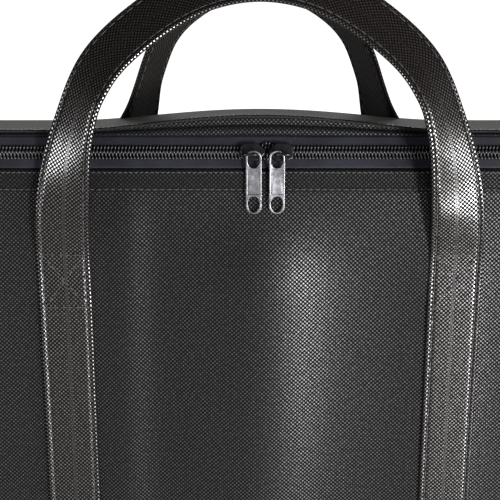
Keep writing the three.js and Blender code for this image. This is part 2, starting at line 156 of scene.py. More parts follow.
def dotted_cloth(name, valley, dot, gloss=0.37, smooth_painted_sheen_behind=None, pressed_above=None):
    """Coated nylon with raised dots, pressed duller above one height, smooth with painted sheen behind one
    depth.
    """
    material, shader, cloth, space = blank_material(name, roughness=0.8, specular=0.02)
    turn = math.pi / DOT_CELL
    rows = (cloth.axis(0) * turn).math("COSINE")
    columns = (cloth.axis(1) * turn).math("COSINE")
    raised = (rows * columns).between(-0.1, 0.85)
    glint = cloth.noise(0.55, 3.0).between(0.3, 0.72)
    drift = space.noise(14.0, 3.0).between(0.25, 0.8)
    shown = raised * (glint * 0.65 + 0.35) * (drift * 0.35 + 0.65)
    colour = shown.mix(valley, dot)
    # Behind this depth the cloth is smooth, without dots, and its colour is a painted sheen of light
    # grey-green.
    if smooth_painted_sheen_behind is not None:
        plain = space.axis(1).between(smooth_painted_sheen_behind, smooth_painted_sheen_behind + 0.003)
        colour = plain.mix(colour, PAINTED_SHEEN_GREY)
        raised = raised * (1 - plain)
    colour.into(shader, "Base Color")
    if pressed_above is not None:
        gloss = (1 - space.axis(2).between(pressed_above - 0.0005, pressed_above) * PRESSED_DULLING) * gloss
    (raised * (glint * 0.5 + 0.5) * gloss).into(shader, "Coat Weight")
    shader.inputs["Coat Roughness"].default_value = 0.3
    shader.inputs["Coat IOR"].default_value = 1.85
    (raised + glint * 0.25).bump(0.3, 0.0002).into(shader, "Normal")
    return material


def make_mesh(name, points, faces, uvs, material):
    """A smooth closed piece from points in millimetres, with cloth coordinates for each point."""
    mesh = bpy.data.meshes.new(name)
    mesh.from_pydata((np.asarray(points, float) * MM).tolist(), [], [list(map(int, f)) for f in faces])
    layer = mesh.uv_layers.new(name="cloth")
    corners = np.zeros(len(mesh.loops), np.int32)
    mesh.loops.foreach_get("vertex_index", corners)
    layer.data.foreach_set("uv", np.asarray(uvs, np.float32)[corners].ravel())
    work = bmesh.new()
    work.from_mesh(mesh)
    bmesh.ops.recalc_face_normals(work, faces=work.faces)
    work.to_mesh(mesh)
    work.free()
    mesh.shade_smooth()
    mesh.materials.append(material)
    piece = bpy.data.objects.new(name, mesh)
    bpy.context.collection.objects.link(piece)
    return piece


def grid_faces(rows, columns, start=0, wrap=False):
    """Quads over a grid of points held row by row, joined round the rows where wrap is set."""
    across = columns if wrap else columns - 1
    r, c = np.meshgrid(np.arange(rows - 1), np.arange(across), indexing="ij")
    r, c = r.ravel(), c.ravel()
    after = (c + 1) % columns
    near, far = r * columns + start, (r + 1) * columns + start
    return np.stack([near + c, near + after, far + after, far + c], 1).tolist()


def shell(name, outer, inner, uvs, material):
    """A sheet with two faces, each a grid of points, closed round its border."""
    rows, columns, _ = outer.shape
    count = rows * columns
    faces = grid_faces(rows, columns) + [f[::-1] for f in grid_faces(rows, columns, count)]
    index = np.arange(count).reshape(rows, columns)
    border = np.concatenate([index[0, :-1], index[:-1, -1], index[-1, :0:-1], index[:0:-1, 0]])
    following = np.roll(border, -1)
    faces += np.stack([border, border + count, following + count, following], 1).tolist()
    points = np.concatenate([outer.reshape(-1, 3), inner.reshape(-1, 3)])
    return make_mesh(name, points, faces, np.concatenate([uvs.reshape(-1, 2)] * 2), material)


def joined(name, pieces):
    """One object from several, which are used up."""
    work = bmesh.new()
    materials = []
    for piece in pieces:
        piece.data.transform(piece.matrix_world)
        start = len(work.faces)
        work.from_mesh(piece.data)
        work.faces.ensure_lookup_table()
        own = list(piece.data.materials)
        for face in work.faces[start:]:
            material = own[face.material_index]
            if material not in materials:
                materials.append(material)
            face.material_index = materials.index(material)
    mesh = bpy.data.meshes.new(name)
    work.to_mesh(mesh)
    work.free()
    for material in materials:
        mesh.materials.append(material)
    for piece in pieces:
        bpy.data.objects.remove(piece, do_unlink=True)
    whole = bpy.data.objects.new(name, mesh)
    bpy.context.collection.objects.link(whole)
    return whole


def sweep(name, frames, section, material):
    """A closed outline of (across, out) points, or one for each frame, carried along frames."""
    section = np.broadcast_to(section, (len(frames["s"]), *np.shape(section)[-2:]))
    across, out = section[..., :1], section[..., 1:]
    rings = frames["at"][:, None] + across * frames["across"][:, None] + out * frames["out"][:, None]
    rows, columns, _ = rings.shape
    faces = grid_faces(rows, columns, wrap=True)
    faces.append(list(range(columns)))
    faces.append(list(range((rows - 1) * columns, rows * columns)))
    steps = np.linalg.norm(np.diff(section, axis=1, prepend=section[:, :1]), axis=2)
    uvs = np.stack([np.broadcast_to(frames["s"][:, None], steps.shape), np.cumsum(steps, 1)], 2)
    return make_mesh(name, rings.reshape(-1, 3), faces, uvs.reshape(-1, 2), material)


def unit(vectors):
    return vectors / np.maximum(np.linalg.norm(vectors, axis=-1, keepdims=True), 1e-9)


def along_line(at, across):
    """Frames at each point of a line: where it is, which way it runs, and the section's two directions."""
    run = np.gradient(at, axis=0)
    along = unit(run)
    across = unit(across - along * (across * along).sum(1, keepdims=True))
    steps = np.linalg.norm(np.diff(at, axis=0), axis=1)
    s = np.concatenate([[0], np.cumsum(steps)])
    return {"at": at, "along": along, "across": across, "out": np.cross(along, across), "s": s}


def places_on(frames, s, across, out):
    """Places and turns on a line at lengths s, each off the line by across and out."""
    s = np.asarray(s, float)
    at, along, side, face = (
        np.stack([np.interp(s, frames["s"], frames[key][:, i]) for i in range(3)], 1)
        for key in ("at", "along", "across", "out")
    )
    side, face = unit(side), unit(face)
    across = np.broadcast_to(across, s.shape)[:, None]
    out = np.broadcast_to(out, s.shape)[:, None]
    turns = [Matrix(np.stack([unit(a), b, c], 1).tolist()).to_euler() for a, b, c in zip(along, side, face)]
    return at + across * side + out * face, np.array([list(t) for t in turns])


def repeat(name, shape, places, turns, material):
    """Copies of a small shape at places in millimetres, laid by Geometry Nodes and made one plain mesh."""
    cloud = bpy.data.meshes.new(name + "_places")
    cloud.from_pydata((np.asarray(places) * MM).tolist(), [], [])
    turn = cloud.attributes.new("turn", "FLOAT_VECTOR", "POINT")
    turn.data.foreach_set("vector", np.asarray(turns, np.float32).ravel())
    holder = bpy.data.objects.new(name + "_holder", cloud)
    bpy.context.collection.objects.link(holder)
    group = bpy.data.node_groups.new(name, "GeometryNodeTree")
    sockets = {}
    for label, kind in (("Places", "Geometry"), ("Shape", "Object"), ("Finish", "Material")):
        made = group.interface.new_socket(name=label, in_out="INPUT", socket_type="NodeSocket" + kind)
        sockets[label] = made.identifier
    group.interface.new_socket(name="Pieces", in_out="OUTPUT", socket_type="NodeSocketGeometry")
    links = (
        ("NodeGroupInput", "Places", "GeometryNodeInstanceOnPoints", "Points"),
        ("NodeGroupInput", "Shape", "GeometryNodeObjectInfo", "Object"),
        ("GeometryNodeObjectInfo", "Geometry", "GeometryNodeInstanceOnPoints", "Instance"),
        ("GeometryNodeInputNamedAttribute", "Attribute", "FunctionNodeEulerToRotation", "Euler"),
        ("FunctionNodeEulerToRotation", "Rotation", "GeometryNodeInstanceOnPoints", "Rotation"),
        ("GeometryNodeInstanceOnPoints", "Instances", "GeometryNodeRealizeInstances", "Geometry"),
        ("GeometryNodeRealizeInstances", "Geometry", "GeometryNodeSetMaterial", "Geometry"),
        ("NodeGroupInput", "Finish", "GeometryNodeSetMaterial", "Material"),
        ("GeometryNodeSetMaterial", "Geometry", "NodeGroupOutput", "Pieces"),
    )
    kinds = {kind for source, _, target, _ in links for kind in (source, target)}
    node = {kind: group.nodes.new(kind) for kind in sorted(kinds)}
    node["GeometryNodeInputNamedAttribute"].data_type = "FLOAT_VECTOR"
    node["GeometryNodeInputNamedAttribute"].inputs["Name"].default_value = "turn"
    for source, output, target, entry in links:
        group.links.new(node[source].outputs[output], node[target].inputs[entry])
    modifier = holder.modifiers.new("repeat", "NODES")
    modifier.node_group = group
    modifier[sockets["Shape"]] = shape
    modifier[sockets["Finish"]] = material
    graph = bpy.context.evaluated_depsgraph_get()
    mesh = bpy.data.meshes.new_from_object(holder.evaluated_get(graph), depsgraph=graph)
    mesh.name = name
    mesh.shade_smooth()
    bpy.data.objects.remove(holder, do_unlink=True)
    whole = bpy.data.objects.new(name, mesh)
    bpy.context.collection.objects.link(whole)
    return whole


def rod(name, line, radii, sides):
    """A small closed rod of thread through points (x, y, z), with radii (sideways, upwards) at each."""
    line, radii = np.asarray(line, float), np.asarray(radii, float)
    angle = np.arange(sides) * 2 * math.pi / sides
    ring = np.stack([np.cos(angle), np.sin(angle)], 1)
    frames = along_line(line, np.tile([[0.0, 1.0, 0.0]], (len(line), 1)))
    return sweep(name, frames, ring[None] * radii[:, None], thread)


def thread_material():
    """Black bonded nylon sewing thread, twisted and dull."""
    material, shader, _, space = blank_material("thread", roughness=0.65, specular=0.14)
    space.noise(2600.0, 1.0).mix(THREAD_DARK, THREAD_LIGHT).into(shader, "Base Color")
    return material


thread = thread_material()


def stitch_shape(length):
    """One stitch: its ends dive into the cloth."""
    half = length / 2
    rise = half * 0.6
    line = [(-half, 0, -0.25), (-rise, 0, 0.04), (0, 0, 0.14), (rise, 0, 0.04), (half, 0, -0.25)]
    return rod("stitch", line, [(0.16, 0.1), (0.24, 0.18), (0.27, 0.2), (0.24, 0.18), (0.16, 0.1)], 6)


def sewn(name, frames, start, end, spacing, across, out, length=None):
    """A row of stitches along a line from start to end."""
    s = np.arange(start + spacing / 2, end, spacing)
    places, turns = places_on(frames, s, across, out)
    shape = stitch_shape(length or spacing * 0.8)
    row = repeat(name, shape, places, turns, thread)
    bpy.data.objects.remove(shape, do_unlink=True)
    return row


panel_cloth = dotted_cloth("panel_cloth", PANEL_VALLEY, PANEL_DOT, pressed_above=PRESSED_HEM_FOOT)

base_low, base_high = limits("bottom_panel")
FRONT_Y, BACK_Y = base_low[1], base_high[1]


def base_outline(inset):
    """Across the base from the front seam round underneath to the back seam."""
    radius = BASE_RADIUS - inset
    turn = np.linspace(0, math.pi / 2, 7)
    corner = np.stack([-np.cos(turn), -np.sin(turn)], 1) * radius
    front = corner + (FRONT_Y + BASE_RADIUS, BASE_RADIUS)
    back = corner[::-1] * (-1, 1) + (BACK_Y - BASE_RADIUS, BASE_RADIUS)
    floor = np.linspace(front[-1], back[0], 12)[1:-1]
    ends = [[FRONT_Y + inset, BASE_TURN_UP - 0.4]], [[BACK_Y - inset, BASE_TURN_UP - 0.4]]
    return np.concatenate([ends[0], front, floor, back, ends[1]])


x_base = np.linspace(base_low[0] + 0.5, base_high[0] - 0.5, 90)


def base_sheet(inset):
    outline = base_outline(inset)
    sag = 0.5 * np.sin(x_base / 37.0)[:, None] * (outline[:, 1] > BASE_RADIUS - 1)[None]
    points = np.zeros((len(x_base), len(outline), 3))
    points[..., 0] = x_base[:, None]
    points[..., 1] = outline[None, :, 0] + sag * 0.3
    points[..., 2] = outline[None, :, 1]
    return points


outer_base = base_sheet(0)
run = np.concatenate([[0], np.cumsum(np.linalg.norm(np.diff(base_outline(0), axis=0), axis=1))])
base_uv = np.stack(np.broadcast_arrays(x_base[:, None], run[None]), 2)
channel = shell("base_cloth", outer_base, base_sheet(CLOTH), base_uv, panel_cloth)
end_outline = base_outline(CLOTH + 0.1)
end_walls = []
for side in (-1, 1):
    end_x = side * (base_high[0] - END_WALL_INSET) - side * np.array([[0.0], [CLOTH]])
    rings = np.zeros((2, len(end_outline), 3))
    rings[..., 0], rings[..., 1:] = end_x, end_outline
    last = len(end_outline)
    end_faces = [*grid_faces(2, last, wrap=True), list(range(last)), list(range(last, 2 * last))]
    end_uv = np.concatenate([end_outline, end_outline])
    end_walls.append(make_mesh("end_wall", rings.reshape(-1, 3), end_faces, end_uv, panel_cloth))
base = joined("base_cloth", [channel, *end_walls])
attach(base, "back_half")
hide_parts("bottom_panel")


# Stiffening boards.
# Grey-brown card with a pressed grain, one board in the base and one behind each lining. The cloth is
# drawn tight round them, and nothing else holds them.

CARD_DARK, CARD_PALE = (0.04, 0.032, 0.023, 1), (0.1, 0.08, 0.058, 1)


def card_material():
    material, shader, _, space = blank_material("card", roughness=0.85, specular=0.3)
    grain = space.noise(900.0, 4.0)
    cloud = space.noise(30.0, 3.0)
    (grain * 0.5 + cloud * 0.5).mix(CARD_DARK, CARD_PALE).into(shader, "Base Color")
    grain.bump(0.2, 0.0001).into(shader, "Normal")
    return material


card = card_material()
for board in ("bottom_board", "back_board", "front_board"):
    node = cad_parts[board]
    node.data.materials.clear()
    node.data.materials.append(card)


# Back panel.
# The same dotted cloth laid over the back board, its edge turned in where it is sewn to the gusset. It is
# not drawn quite tight, so it lies in slow folds.

PANEL_EDGE_ROLL = 1.6
HEM_WIDTH = 10.5
HEM_RISE = 0.35
HEM_GROOVE = 0.9


def edge_distance(x, z, half_width, bottom, top, radius):
    """How far a point of a panel is from the panel's edge, whose two top corners are round."""
    flat = np.minimum(half_width - np.abs(x), top - z)
    over_x = np.abs(x) - (half_width - radius)
    over_z = z - (top - radius)
    in_corner = (over_x > 0) & (over_z > 0)
    rounded = radius - np.hypot(over_x, over_z)
    return np.minimum(np.where(in_corner, rounded, flat), z - bottom)


def smooth_step(value, low, high):
    share = np.clip((value - low) / (high - low), 0, 1)
    return share * share * (3 - 2 * share)


def spaced(length, fine, step, near):
    """Places from 0 to length, fine near both ends and step apart between."""
    end = np.arange(0, near, fine)
    middle = np.linspace(near, length - near, max(2, int((length - 2 * near) / step)))
    return np.concatenate([end, middle, length - end[::-1]])


def panel_grid(half_width, bottom, top, radius):
    """Points across a panel with two round top corners, closest together near its edge."""
    z = bottom + spaced(top - bottom, 0.55, 5.5, 13.2)
    drop = np.clip((z - (top - radius)) / radius, 0, 1)
    reach = half_width - radius * (1 - np.sqrt(np.clip(1 - drop**2, 0, 1)))
    share = spaced(2 * half_width, 0.6, 4.0, 13.2) / half_width - 1
    x = share[None] * reach[:, None]
    return x, np.broadcast_to(z[:, None], x.shape)


def rolled(distance):
    """How far the cloth rolls back from its face at a given distance from the edge."""
    near = np.clip(PANEL_EDGE_ROLL - distance, 0, PANEL_EDGE_ROLL)
    return PANEL_EDGE_ROLL - np.sqrt(np.clip(PANEL_EDGE_ROLL**2 - near**2, 0, None))


BACK_RADIUS = 29.3
BACK_CUT = (0.669, 0.508)


def from_edge(node, radius, x, z):
    """How far points are from the edge of a node's panel."""
    low, high = limits(node)
    return edge_distance(x, z, high[0], low[2], high[2], radius)


def over_board(name, node, radius, facing, rise, thickness, finish, slot, body, cut, board):
    """A sheet over a board, standing out from its CAD node by rise(x, z, distance from the edge)."""
    low, high = limits(node)
    x, z = panel_grid(high[0], low[2], high[2], radius)
    inward = from_edge(node, radius, x, z)
    outside = high[1] if facing > 0 else low[1]
    outer = np.stack([x, outside + facing * rise(x, z, inward), z], 2)
    inner = outer - (0, facing * thickness, 0)
    piece = shell(name, outer, inner, np.stack([x, z], 2), finish)
    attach(piece, body)
    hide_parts(node)


def back_swell(x, z):
    """How far the back panel stands out from its board."""
    inward = from_edge("back_panel", BACK_RADIUS, x, z)
    folds = 0.9 * np.sin(x / 41.0 + z / 260.0) + 0.6 * np.sin(x / 23.0 - z / 190.0) + 1.2
    return 0.2 + 0.7 * folds * smooth_step(inward, 8, 70)


def back_rise(x, z, inward):
    return back_swell(x, z) - rolled(inward)


back_make = (back_rise, CLOTH, panel_cloth, "panel_cloth")
over_board("back_panel_cloth", "back_panel", BACK_RADIUS, 1, *back_make, "back_half", BACK_CUT, "back_board")


# Gusset.
# A band of the same cloth round the sides and top. Its front edge is folded over the zip tape, rises in a
# second fold and turns over the crest. Between the handles it is pushed up in a soft bulge.

FRONT_HALF_WIDTH = limits("front_panel")[1][0]
FRONT_TOP = limits("front_panel")[1][2]
FRONT_RADIUS = 20.0
SEAM_Z = 10.0
SIDE_REACH = 15.5
BULGE_HEIGHT = 7.0
BULGE_HALF_WIDTH = 88.0
BACK_INSET = 6.0
BACK_RISE = 5.6
CREST_Y = -16.6
ZIP_LEAN = math.radians(64)


def outline_frames(foot, step=1.5, corner_step=3.0):
    """Frames round the front panel's edge: across points outwards and out points forwards."""
    top, side, radius = FRONT_TOP, FRONT_HALF_WIDTH, FRONT_RADIUS
    up = np.arange(foot, top - radius, step * 3)
    turn = np.radians(np.arange(180, 90 - 1e-6, -corner_step))
    level = np.linspace(-(side - radius), side - radius, int(2 * (side - radius) / step))[1:-1]
    left = np.stack([-side + 0 * up, 0 * up, up], 1)
    bend_x, bend_z = radius * np.cos(turn) - side + radius, radius * np.sin(turn) + top - radius
    bend = np.stack([bend_x, 0 * turn, bend_z], 1)
    left_out = np.tile([[-1.0, 0, 0]], (len(up), 1))
    bend_out = np.stack([np.cos(turn), 0 * turn, np.sin(turn)], 1)
    run = np.stack([level, 0 * level, top + 0 * level], 1)
    run_out = np.tile([[0, 0, 1.0]], (len(level), 1))
    flip = np.array([-1.0, 1, 1])
    at = np.concatenate([left, bend, run, bend[::-1] * flip, left[::-1] * flip])
    across = np.concatenate([left_out, bend_out, run_out, bend_out[::-1] * flip, left_out[::-1] * flip])
    frames = along_line(at, across)
    frames["across"] = across
    frames["out"] = np.tile([[0, -1.0, 0]], (len(at), 1))
    return frames


def on_slope(along, out):
    """(across, out) of a point on the zip's slope, off the front panel's edge."""
    along, out = np.asarray(along, float), np.asarray(out, float)
    outward = along * math.sin(ZIP_LEAN) + out * math.cos(ZIP_LEAN)
    forward = -FRONT_Y - along * math.cos(ZIP_LEAN) + out * math.sin(ZIP_LEAN)
    return np.stack([outward, forward], -1)


def bulge_share(x):
    reach = np.clip(np.abs(x) / BULGE_HALF_WIDTH, 0, 1)
    return (0.5 + 0.5 * np.cos(math.pi * reach)) ** 0.8


def puffed(start, end, puff):
    """Six points from start to end that stand out by puff half way."""
    run = np.linspace(0, 1, 6)[:, None]
    return start + run * (end - start) + np.array(puff) * np.sin(run * math.pi)


def gusset_profile(share, wobble):
    """The gusset's outer line at one place, from under the zip tape over the crest to the back panel."""
    lift = share * BULGE_HEIGHT
    crest = np.array([SIDE_REACH + lift, -CREST_Y])
    fold = on_slope(15.3, 0.75)
    ridge = fold + (crest - fold) * 0.53 + np.array([-0.25, 0.35]) * (0.35 + 0.65 * share)
    under = on_slope([12.6, 14.6, 15.2], [-0.75, -0.55, 0.1])
    lower = puffed(fold, ridge, (0.18 * (0.4 + share), 0.42 * (0.4 + share)))
    step = ridge + np.array([0.12, -1.3])
    upper = puffed(step, crest, (0.2 * (0.4 + share), 0.45 * (0.4 + share)))
    turn = crest + np.array([[0.25, -0.1], [0.42, -0.6], [0.3, -1.3]])
    depth = np.linspace(0, 1, 16)[1:]
    backward = crest[1] - 1.3 + depth * (-BACK_Y + 0.9 - crest[1] + 1.3)
    fall = BACK_INSET + (BULGE_HEIGHT - BACK_RISE) * share
    drop = crest[0] + 0.3 - depth * fall
    slack = (0.9 + 0.7 * wobble) * np.sin(depth * math.pi)
    top = np.stack([drop - slack * 0.6, backward], 1)
    tuck = np.array([[top[-1, 0] - 1.6, -BACK_Y + 1.0]])
    return np.concatenate([under, lower, step[None], upper[1:], turn, top, tuck])


def inside_of(profile, thickness):
    """The same line one thickness further in."""
    run = unit(np.gradient(profile, axis=0))
    return profile + thickness * np.stack([-run[:, 1], run[:, 0]], 1) * -1


gusset_frames = outline_frames(BASE_RADIUS + 2.0)
gusset_x = gusset_frames["at"][:, 0]
on_top = (gusset_frames["across"][:, 2] > 0.999).astype(float)
sections = []
for x, level, s in zip(gusset_x, on_top, gusset_frames["s"]):
    line = gusset_profile(bulge_share(x) * level, math.sin(s / 31.0) + 0.5 * math.sin(s / 13.0))
    sections.append(np.concatenate([line, inside_of(line, CLOTH)[::-1]]))
# Behind the crest the gusset's top is smooth, without dots, and painted light grey-green as sheen.
gusset_cloth = dotted_cloth("gusset_cloth", PANEL_VALLEY, PANEL_DOT, gloss=0.45, smooth_painted_sheen_behind=-0.0135)
gusset = sweep("gusset_cloth", gusset_frames, np.array(sections), gusset_cloth)
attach(gusset, "back_half")
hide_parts("gusset_left", "gusset_right", "gusset_top")


# Crest binding.
# A narrow black ribbed tape folded over the gusset's raw edge and stitched down. It runs all the way
# round the crest, up one side, over the bulge and down the other.

BINDING_DARK, BINDING_LIGHT = (0.001, 0.001, 0.001, 1), (0.005, 0.005, 0.0055, 1)


def binding_material():
    material, shader, cloth, _ = blank_material("binding_cloth", roughness=0.8, specular=0.03)
    ribs = (cloth.axis(0) * 9.0).math("SINE")
    ribs.between(-1.0, 1.0).mix(BINDING_DARK, BINDING_LIGHT).into(shader, "Base Color")
    ribs.bump(0.3, 0.0001).into(shader, "Normal")
    return material


binding_cloth = binding_material()
crest_sections = []
bead = np.radians(np.arange(0, 360, 45))
for x, level in zip(gusset_x, on_top):
    share = bulge_share(x) * level
    centre = np.array([SIDE_REACH + share * BULGE_HEIGHT - 0.15, -CREST_Y + 0.35])
    crest_sections.append(centre + np.stack([0.55 * np.cos(bead), 0.5 * np.sin(bead)], 1))
binding = sweep("crest_binding_tape", gusset_frames, np.array(crest_sections), binding_cloth)
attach(binding, "back_half")
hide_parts("crest_binding")


# Linings.
# Thin charcoal nylon over each board, in a fine basket weave. It is turned under and sewn down at its
# edge, and ripples a little across the middle.

LINING_THICKNESS = 0.5
LINING_DARK, LINING_LIGHT = (0.003, 0.003, 0.0035, 1), (0.012, 0.0122, 0.0138, 1)
BACK_LINING_CUT = (0.655, 0.499)
FRONT_LINING_CUT = (0.643, 0.493)


def lining_material():
    material, shader, cloth, space = blank_material("lining_cloth", roughness=0.9, specular=0.0)
    warp = (cloth.axis(0) * 5.2).math("SINE")
    weft = (cloth.axis(1) * 5.2).math("SINE")
    weave = (warp * weft).between(-0.8, 0.8)
    tone = space.noise(9.0, 3.0).between(0.3, 0.7)
    (weave * 0.85 + tone * 0.15).mix(LINING_DARK, LINING_LIGHT).into(shader, "Base Color")
    weave.bump(0.4, 0.00012).into(shader, "Normal")
    return material


lining_cloth = lining_material()


def lining_rise(x, z, inward):
    ripple = 0.5 + 0.35 * np.sin(x / 31.0 + z / 120.0) + 0.25 * np.sin(x / 17.0 - z / 75.0)
    return ripple * smooth_step(inward, 2, 40) - 0.4 * rolled(inward)


lining_make = (lining_rise, LINING_THICKNESS, lining_cloth, "lining_cloth")
back_side = ("back_half", BACK_LINING_CUT, "back_board")
front_side = ("front_cover", FRONT_LINING_CUT, "front_board")
over_board("back_lining_cloth", "back_lining", 20.0, -1, *lining_make, *back_side)
over_board("front_lining_cloth", "front_lining", 17.0, 1, *lining_make, *front_side)


# Front panel.
# The same cloth, hemmed along the zip with a turned edge and a row of topstitching, and pressed flat
# there. It hangs in soft upright folds, deepest between the handle legs.

panel_low, panel_high = limits("front_panel")
FRONT_CUT = (0.653, 0.5)
FOLDS = (
    # centre x, height, half width, lean
    (1, 5.8, 27, 0.02),
    (-34, 1.3, 15, -0.03),
    (86, 1.6, 18, 0.0),
    (-88, 1.2, 14, 0.0),
    (-62, 2.2, 10, 0.02),
    (-142, 1.5, 26, -0.05),
    (148, 1.7, 30, 0.06),
    (-215, 1.4, 34, -0.04),
    (226, 1.5, 36, 0.03),
)


def front_swell(x, z):
    """How far the front panel stands out from its board."""
    total = 0.25 + 0 * x
    for centre, height, half_width, lean in FOLDS:
        middle = centre + lean * (z - 460)
        total = total + height * np.exp(-(((x - middle) / half_width) ** 2))
    inward = from_edge("front_panel", FRONT_RADIUS, x, z)
    pucker = 0.9 * np.exp(-(((x + 60) / 7) ** 2) - (((z - 484) / 14) ** 2))
    return total * smooth_step(inward, 9, 62) + pucker


def front_rise(x, z, inward):
    hem = HEM_RISE * (1 - smooth_step(inward, HEM_WIDTH - 0.3, HEM_WIDTH + 0.8))
    groove = 0.45 * np.exp(-(((inward - HEM_WIDTH + HEM_GROOVE) / 0.55) ** 2))
    return front_swell(x, z) + hem - groove - rolled(inward)


front_make = (front_rise, CLOTH, panel_cloth, "panel_cloth")
front_side = ("front_cover", FRONT_CUT, "front_board")
over_board("front_panel_cloth", "front_panel", FRONT_RADIUS, -1, *front_make, *front_side)

hem_frames = outline_frames(SEAM_Z + 3)
for label, inset, spacing in (("hem_stitches", HEM_WIDTH - HEM_GROOVE, 3.2), ("edge_stitches", 1.5, 2.4)):
    height = -FRONT_Y + HEM_RISE + 0.1 - (0.3 if inset > 2 else 0.12)
    row = sewn(label, hem_frames, 0, hem_frames["s"][-1], spacing, -inset, height)
    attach(row, "front_cover")


# Zip tape.
# Two woven polyester tapes, blue-black and smooth. One is sewn to the front panel's hem and one under the
# gusset's folded edge.

TAPE_THICKNESS = 0.55
TAPE_DARK, TAPE_LIGHT = (0.0005, 0.0005, 0.0009, 1), (0.0034, 0.0034, 0.0052, 1)
ZIP_CENTRE = 7.4


def tape_material():
    material, shader, cloth, space = blank_material("zip_tape", roughness=0.6, specular=0.05)
    twill = ((cloth.axis(0) + cloth.axis(1)) * 7.5).math("SINE").between(-0.9, 0.9)
    tone = space.noise(60.0, 3.0).between(0.3, 0.7)
    (twill * 0.5 + tone * 0.5).mix(TAPE_DARK, TAPE_LIGHT).into(shader, "Base Color")
    twill.bump(0.25, 0.0001).into(shader, "Normal")
    return material


zip_tape = tape_material()
zip_frames = outline_frames(25.0)


def tape(name, node, start, end, body):
    """A strip of tape on the zip's slope, a little thicker at its woven edge."""
    share = np.linspace(0, 1, 9)
    run = start + share * (end - start)
    top = on_slope(run, 0.05 * np.sin(share * math.pi))
    bottom = on_slope(run[::-1], -TAPE_THICKNESS)
    piece = sweep(name, zip_frames, np.concatenate([top, bottom]), zip_tape)
    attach(piece, body)
    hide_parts(node)


tape("back_tape", "back_zip_tape", ZIP_CENTRE + 1.0, 15.1, "back_half")
tape("front_tape", "front_zip_tape", 0.5, ZIP_CENTRE - 1.0, "front_cover")


# Zip coil.
# A black nylon coil in two halves. Each turn is a slanted loop pressed down where the sewing thread
# crosses it. The heads of the two halves lie between each other along the middle, and part where the
# sliders meet.

TOOTH_PITCH = 1.58
COIL_BASE = 0.15
SLIDER_X = 3.0
PARTING = {1: 2.1, -1: 0.4}
PARTING_HALF_WIDTH = 3.0
COIL_DARK, COIL_LIGHT = (0.001, 0.001, 0.0012, 1), (0.005, 0.005, 0.006, 1)


def nylon_material():
    material, shader, _, space = blank_material("coil_nylon", roughness=0.35, specular=0.11)
    space.noise(500.0, 2.0).mix(COIL_DARK, COIL_LIGHT).into(shader, "Base Color")
    return material


coil_nylon = nylon_material()


def tooth_shape(side):
    """One turn of the coil, its head at y = 0 and its loop away from the middle on the given side."""
    reach = np.array([3.15, 2.75, 2.2, 1.6, 1.15, 0.5, -0.15, -0.6])
    slant = np.array([0.42, 0.38, 0.25, 0.08, 0.0, -0.02, -0.03, -0.03])
    height = np.array([0.55, 0.75, 0.85, 0.55, 0.8, 1.0, 0.95, 0.8])
    wide = np.array([0.3, 0.5, 0.46, 0.36, 0.42, 0.5, 0.52, 0.3])
    tall = np.array([0.25, 0.5, 0.55, 0.35, 0.55, 0.65, 0.62, 0.3])
    line = np.stack([slant, side * reach, height], 1)
    frames = along_line(line, np.tile([[1.0, 0, 0]], (len(line), 1)))
    angle = np.arange(8) * math.pi / 4
    ring = np.stack([np.cos(angle), np.sin(angle)], 1)
    return sweep("tooth", frames, ring[None] * np.stack([wide, tall], 1)[:, None], coil_nylon)


def coil_half(name, node, side, body):
    slope = dict(zip_frames)
    lean = np.array([math.cos(ZIP_LEAN), math.sin(ZIP_LEAN)])
    slope["out"] = unit(lean[0] * zip_frames["across"] + lean[1] * zip_frames["out"])
    slope["across"] = unit(lean[1] * zip_frames["across"] - lean[0] * zip_frames["out"])
    middle = on_slope(ZIP_CENTRE, COIL_BASE)
    slope["at"] = zip_frames["at"] + middle[0] * zip_frames["across"] + middle[1] * zip_frames["out"]
    steps = np.linalg.norm(np.diff(slope["at"], axis=0), axis=1)
    slope["s"] = np.concatenate([[0], np.cumsum(steps)])
    s = np.arange(2.0, slope["s"][-1] - 2.0, TOOTH_PITCH) + (TOOTH_PITCH / 2 if side > 0 else 0)
    from_meeting = (np.interp(s, slope["s"], slope["at"][:, 0]) - SLIDER_X) / PARTING_HALF_WIDTH
    places, turns = places_on(slope, s, side * PARTING[side] * np.exp(-(from_meeting**2)), 0.0)
    shape = tooth_shape(side)
    piece = repeat(name, shape, places, turns, coil_nylon)
    bpy.data.objects.remove(shape, do_unlink=True)
    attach(piece, body)
    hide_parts(node)


coil_half("back_coil", "back_zip_coil", 1, "back_half")
coil_half("front_coil", "front_zip_coil", -1, "front_cover")


# Zip ends.
# A folded tab of the binding tape covers each lower end of the zip, where the two tapes run out. It is
# sewn to the gusset beside them.

TAB_FOOT, TAB_TOP = 10.5, 22.5
TAB_STEPS = 14


def zip_end(label, side):
    z = np.linspace(TAB_FOOT, TAB_TOP, TAB_STEPS)
    at = np.stack([side * FRONT_HALF_WIDTH + 0 * z, 0 * z, z], 1)
    frames = along_line(at, np.tile([[side * 1.0, 0, 0]], (len(z), 1)))
    frames["out"] = np.tile([[0, -1.0, 0]], (len(z), 1))
    swell = np.sin(np.linspace(0, math.pi, TAB_STEPS)) ** 0.4
    sections = []
    for share in swell:
        run = np.linspace(0.5, 15.6, 12)
        high = 2.2 + 0.9 * share * np.sin(np.linspace(0.15, math.pi - 0.15, 12)) ** 0.5
        sections.append(np.concatenate([on_slope(run, high), on_slope(run[::-1], high[::-1] - 0.9)]))
    tab = sweep(f"zip_tab_{label}", frames, np.array(sections), binding_cloth)
    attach(tab, "back_half")
    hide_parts(f"zip_end_{label}")


zip_end("left", -1)
zip_end("right", 1)


# Straps and handles.
# Each handle is one length of dotted strap. It is sewn up the panel from the base seam, boxed with a
# crossed stitch, stands free as the handle's arch, and comes down the other side the same way.

